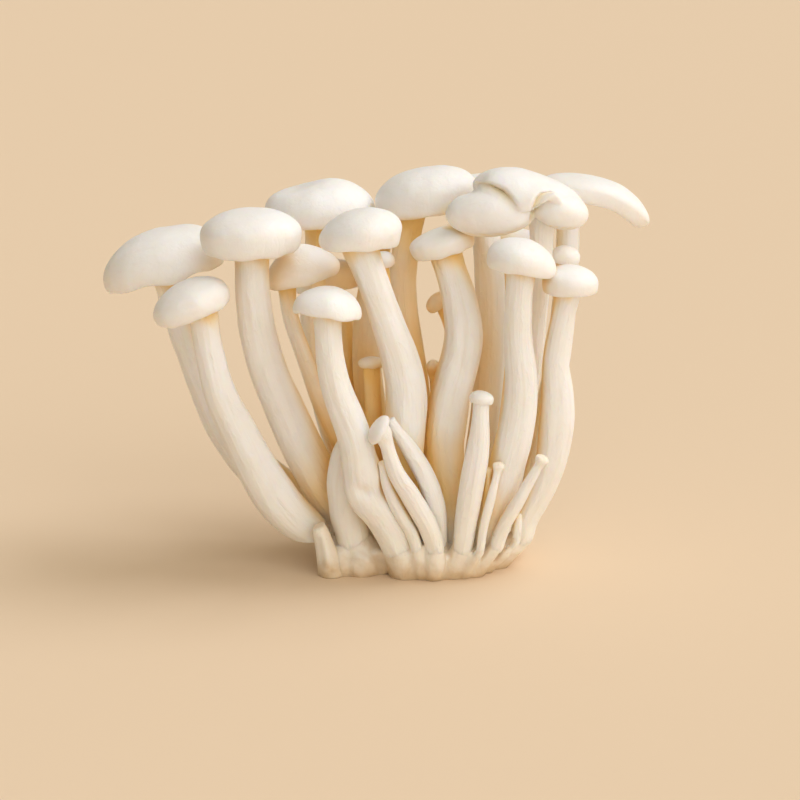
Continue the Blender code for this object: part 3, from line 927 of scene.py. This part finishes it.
def rootWalk(walk, look):  # from a little way up the stem down to the cut base
    centres = [c for c in walk["centres"] if c.z < look["top"]]
    radii = walk["radii"][:len(centres)]
    low = centres[0]
    foot = gathered(low)
    steps = max(2, round((low - foot).length / walk["step"]))
    below = [foot.lerp(low, i / steps) for i in range(steps)]
    centres = blur(below + centres, 3)
    radii = [radii[0]] * steps + radii
    return {**walk, "centres": centres, "headings": headingsOf(centres), "radii": radii}


def makeFoot(walks, material, look):
    # a core and a root for every stem, melted into one lump and cut flat
    bm = cadCopy("foot")
    bmesh.ops.scale(bm, vec=look["core"], verts=bm.verts)
    for place, radius in look["heels"]:
        place = Matrix.Translation(Vector(place) * mm)
        bmesh.ops.create_icosphere(bm, subdivisions=3, radius=radius * mm, matrix=place)
    held = bpy.data.meshes.new("roots")
    for index, walk in enumerate(walks):
        root = rootWalk(walk, look)
        length = root["step"] * (len(root["centres"]) - 1)

        def bulge(radius, across, deep, along, length=length, index=index):
            down = 1 - along / length
            spot = (across * 1.5 + index, deep * 1.5, along / (5 * mm))
            swell = look["knots"] * noise.noise(spot)
            thick = look["slim"] + look["spread"] * down + swell * down
            return radius * thick + look["skirt"] * down

        tube = wrapTube(root, look["sides"], look["rings"], bulge)
        tube.to_mesh(held)
        tube.free()
        bm.from_mesh(held)
    bpy.data.meshes.remove(held)
    bm = melt(bm, look["voxel"])
    relax(bm, look["smooth"])
    for v in bm.verts:
        side = smooth(v.co.z / look["edge"])
        swell = sum(noise.noise(v.co / size) * lift for size, lift in look["lumps"])
        v.co += v.normal * swell * mm * side
    flatCut(bm, 0)
    dropCrumbs(bm)
    bm.normal_update()
    own = BVHTree.FromBMesh(bm)
    air = bm.verts.layers.float.new("air")
    for v in bm.verts:
        v[air] = openAir(own, v.co, v.normal)
    finish("flesh_foot", bm, material, "foot")


studio = {
    "target": (-7 * mm, 0, 38 * mm), "distance": 620 * mm, "elevation": 15, "fieldWidth": 184 * mm,
    "sensor": 36, "floor": (0.82, 0.645, 0.458),
}


def makeStudio(look):
    recipe = Recipe(bpy.data.materials.new("studioPaper"))
    paper = recipe.set(Base_Color=look["floor"], Roughness=0.9)
    bm = bmesh.new()
    bmesh.ops.create_grid(bm, x_segments=2, y_segments=2, size=4)
    mesh = bpy.data.meshes.new("studioFloor")
    bm.to_mesh(mesh)
    bm.free()
    mesh.materials.append(paper)
    floor = bpy.data.objects.new("studioFloor", mesh)
    bpy.context.scene.collection.objects.link(floor)

    slant = math.radians(look["elevation"])
    cameraData = bpy.data.cameras.new("camera")
    cameraData.sensor_width = look["sensor"]
    cameraData.lens = look["sensor"] * look["distance"] / look["fieldWidth"]
    cameraData.clip_start = 0.01
    camera = bpy.data.objects.new("camera", cameraData)
    back = Vector((0, -math.cos(slant), math.sin(slant)))
    camera.location = Vector(look["target"]) + back * look["distance"]
    camera.rotation_euler = (math.pi / 2 - slant, 0, 0)
    bpy.context.scene.collection.objects.link(camera)
    bpy.context.scene.camera = camera


lamps = {
    "key": {
        "from": (0.54, 0.12, 0.83), "spread": 42, "strength": 1.33, "colour": (0.88, 0.915, 1.0),
    },
    "fill": {
        "from": (0.38, -0.88, 0.36), "spread": 70, "strength": 1.05, "colour": (0.905, 0.94, 1.0),
    },
}
roomLook = {"colour": (1.0, 0.885, 0.70), "strength": 0.555, "lopsided": 0.61}


def makeLamps():
    for name, look in lamps.items():
        data = bpy.data.lights.new(name, "SUN")
        data.angle = math.radians(look["spread"])
        data.energy = look["strength"]
        data.color = look["colour"]
        lamp = bpy.data.objects.new(name, data)
        lamp.rotation_euler = Vector(look["from"]).to_track_quat("Z", "Y").to_euler()
        bpy.context.scene.collection.objects.link(lamp)


def makeRoom(look):
    # darker on the left than on the right
    recipe = Recipe(bpy.data.worlds.new("room"), "Background")
    place = recipe.node("ShaderNodeTexCoord", output="Generated")
    across = recipe.node("ShaderNodeSeparateXYZ", {}, {0: place}, output="X")
    dark = look["strength"] * (1 - look["lopsided"])
    light = look["strength"] * (1 + look["lopsided"])
    values = {"Value": across, "From Min": -1, "To Min": dark, "To Max": light}
    amount = recipe.node("ShaderNodeMapRange", {}, values)
    bpy.context.scene.world = recipe.set(Color=look["colour"], Strength=amount)
    bpy.context.scene.view_settings.view_transform = "Standard"


print("openness")
whole = bmesh.new()
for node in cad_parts.values():
    whole.from_mesh(node.data)
wholeTree = BVHTree.FromBMesh(whole)
whole.free()

print("materials")
capSkin = makeCapSkin()
stemFlesh = makeStemFlesh()
footFlesh = makeFootFlesh()

print("stems and caps")
seeds = {"mushroom": 3.7, "pin": 1.9, "stump": 5.1}
fewGills = 40  # a cap with fewer gills than this sits on a thin young stem
shared = ("flare", "flareReach", "airy", "cutOff")  # what a stem takes over from its cap's look
walks = []
for index, (name, changes) in enumerate(mushroomLooks.items()):
    seed = seeds["mushroom"] * index
    look = {**capLook, **changes}
    stem = {**stemLook, "above": look["above"], "touches": look["touches"]}
    if look["gills"] < fewGills:
        stem = {**pinLook, "above": 0.8 * mm}
    stem.update({key: look[key] for key in shared})
    walk = makeStem("stem_" + name, seed, stemFlesh, stem)
    shapeCap = makeFoldedCap if look["fold"] else makeCap
    shapeCap("cap_" + name, walk, seed, capSkin, look)
    if not look["cutOff"]:
        walks.append(walk)

print("young fruit bodies")
for index, (name, tip) in enumerate(pinKnobs.items()):
    walks.append(makePin(name, seeds["pin"] * index, stemFlesh, {**pinLook, "tip": tip}))
makeStump("stump", seeds["stump"], footFlesh, stumpLook)

print("foot")
makeFoot(walks, footFlesh, footLook)

print("studio")
makeStudio(studio)
makeLamps()
makeRoom(roomLook)
